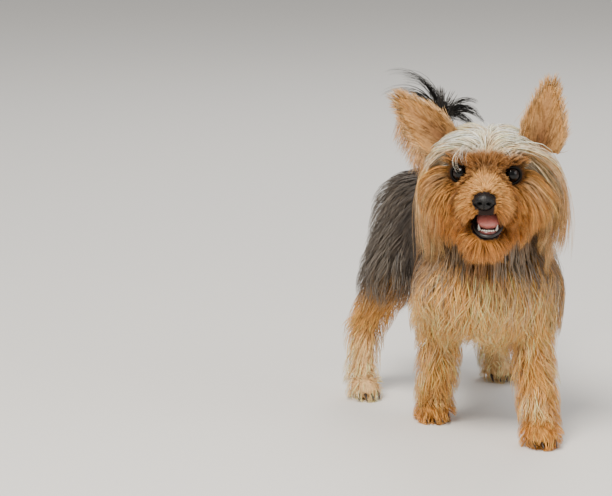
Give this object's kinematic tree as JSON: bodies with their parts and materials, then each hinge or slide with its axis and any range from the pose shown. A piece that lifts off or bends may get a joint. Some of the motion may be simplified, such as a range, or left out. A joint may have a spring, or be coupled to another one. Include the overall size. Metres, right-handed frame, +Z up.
{
  "type": "yorkshire terrier",
  "caption": "Life-size small long-haired terrier, standing mid-step with its head turned, ears up, mouth a little open and a short raised tail; a still model.",
  "frame": {"origin": "middle of the model's outline in plan, on the floor under the soles", "axes": "+X to the dog's left, +Y to its rear, +Z up; the trunk lies along Y and the face looks to -Y, turned a little to -X"},
  "size_m": [0.154, 0.3142, 0.2777],
  "materials": {
    "coat_trunk": "dark steel-grey hair",
    "coat_neck": "grey to tan hair",
    "coat_head": "silver and golden tan hair",
    "coat_jaw": "golden tan hair",
    "coat_tail": "dark grey hair",
    "coat_fore_leg": "golden tan hair",
    "coat_hind_leg": "grey to cream hair",
    "coat_ear": "short tan hair with silky edges",
    "eye": "wet, nearly black",
    "nose": "moist, black, finely pebbled",
    "tongue": "moist, pink",
    "teeth": "ivory enamel",
    "claw": "dark horn"
  },
  "bodies": {
    "root": {"trunk": "coat_trunk", "neck": "coat_neck", "head": "coat_head", "jaw": "coat_jaw", "tail": "coat_tail", "fore_left_upper": "coat_fore_leg", "fore_left_lower": "coat_fore_leg", "fore_left_paw": "coat_fore_leg", "fore_right_upper": "coat_fore_leg", "fore_right_lower": "coat_fore_leg", "fore_right_paw": "coat_fore_leg", "hind_right_upper": "coat_hind_leg", "hind_right_lower": "coat_hind_leg", "hind_right_paw": "coat_hind_leg", "hind_left_upper": "coat_hind_leg", "hind_left_lower": "coat_hind_leg", "hind_left_paw": "coat_hind_leg", "ear_left": "coat_ear", "eye_left": "eye", "ear_right": "coat_ear", "eye_right": "eye", "nose": "nose", "tongue": "tongue", "lower_teeth": "teeth", "fore_left_claw_1": "claw", "fore_left_claw_2": "claw", "fore_left_claw_3": "claw", "fore_left_claw_4": "claw", "fore_right_claw_1": "claw", "fore_right_claw_2": "claw", "fore_right_claw_3": "claw", "fore_right_claw_4": "claw", "hind_right_claw_1": "claw", "hind_right_claw_2": "claw", "hind_right_claw_3": "claw", "hind_right_claw_4": "claw", "hind_left_claw_1": "claw", "hind_left_claw_2": "claw", "hind_left_claw_3": "claw", "hind_left_claw_4": "claw"}
  },
  "joints": []
}
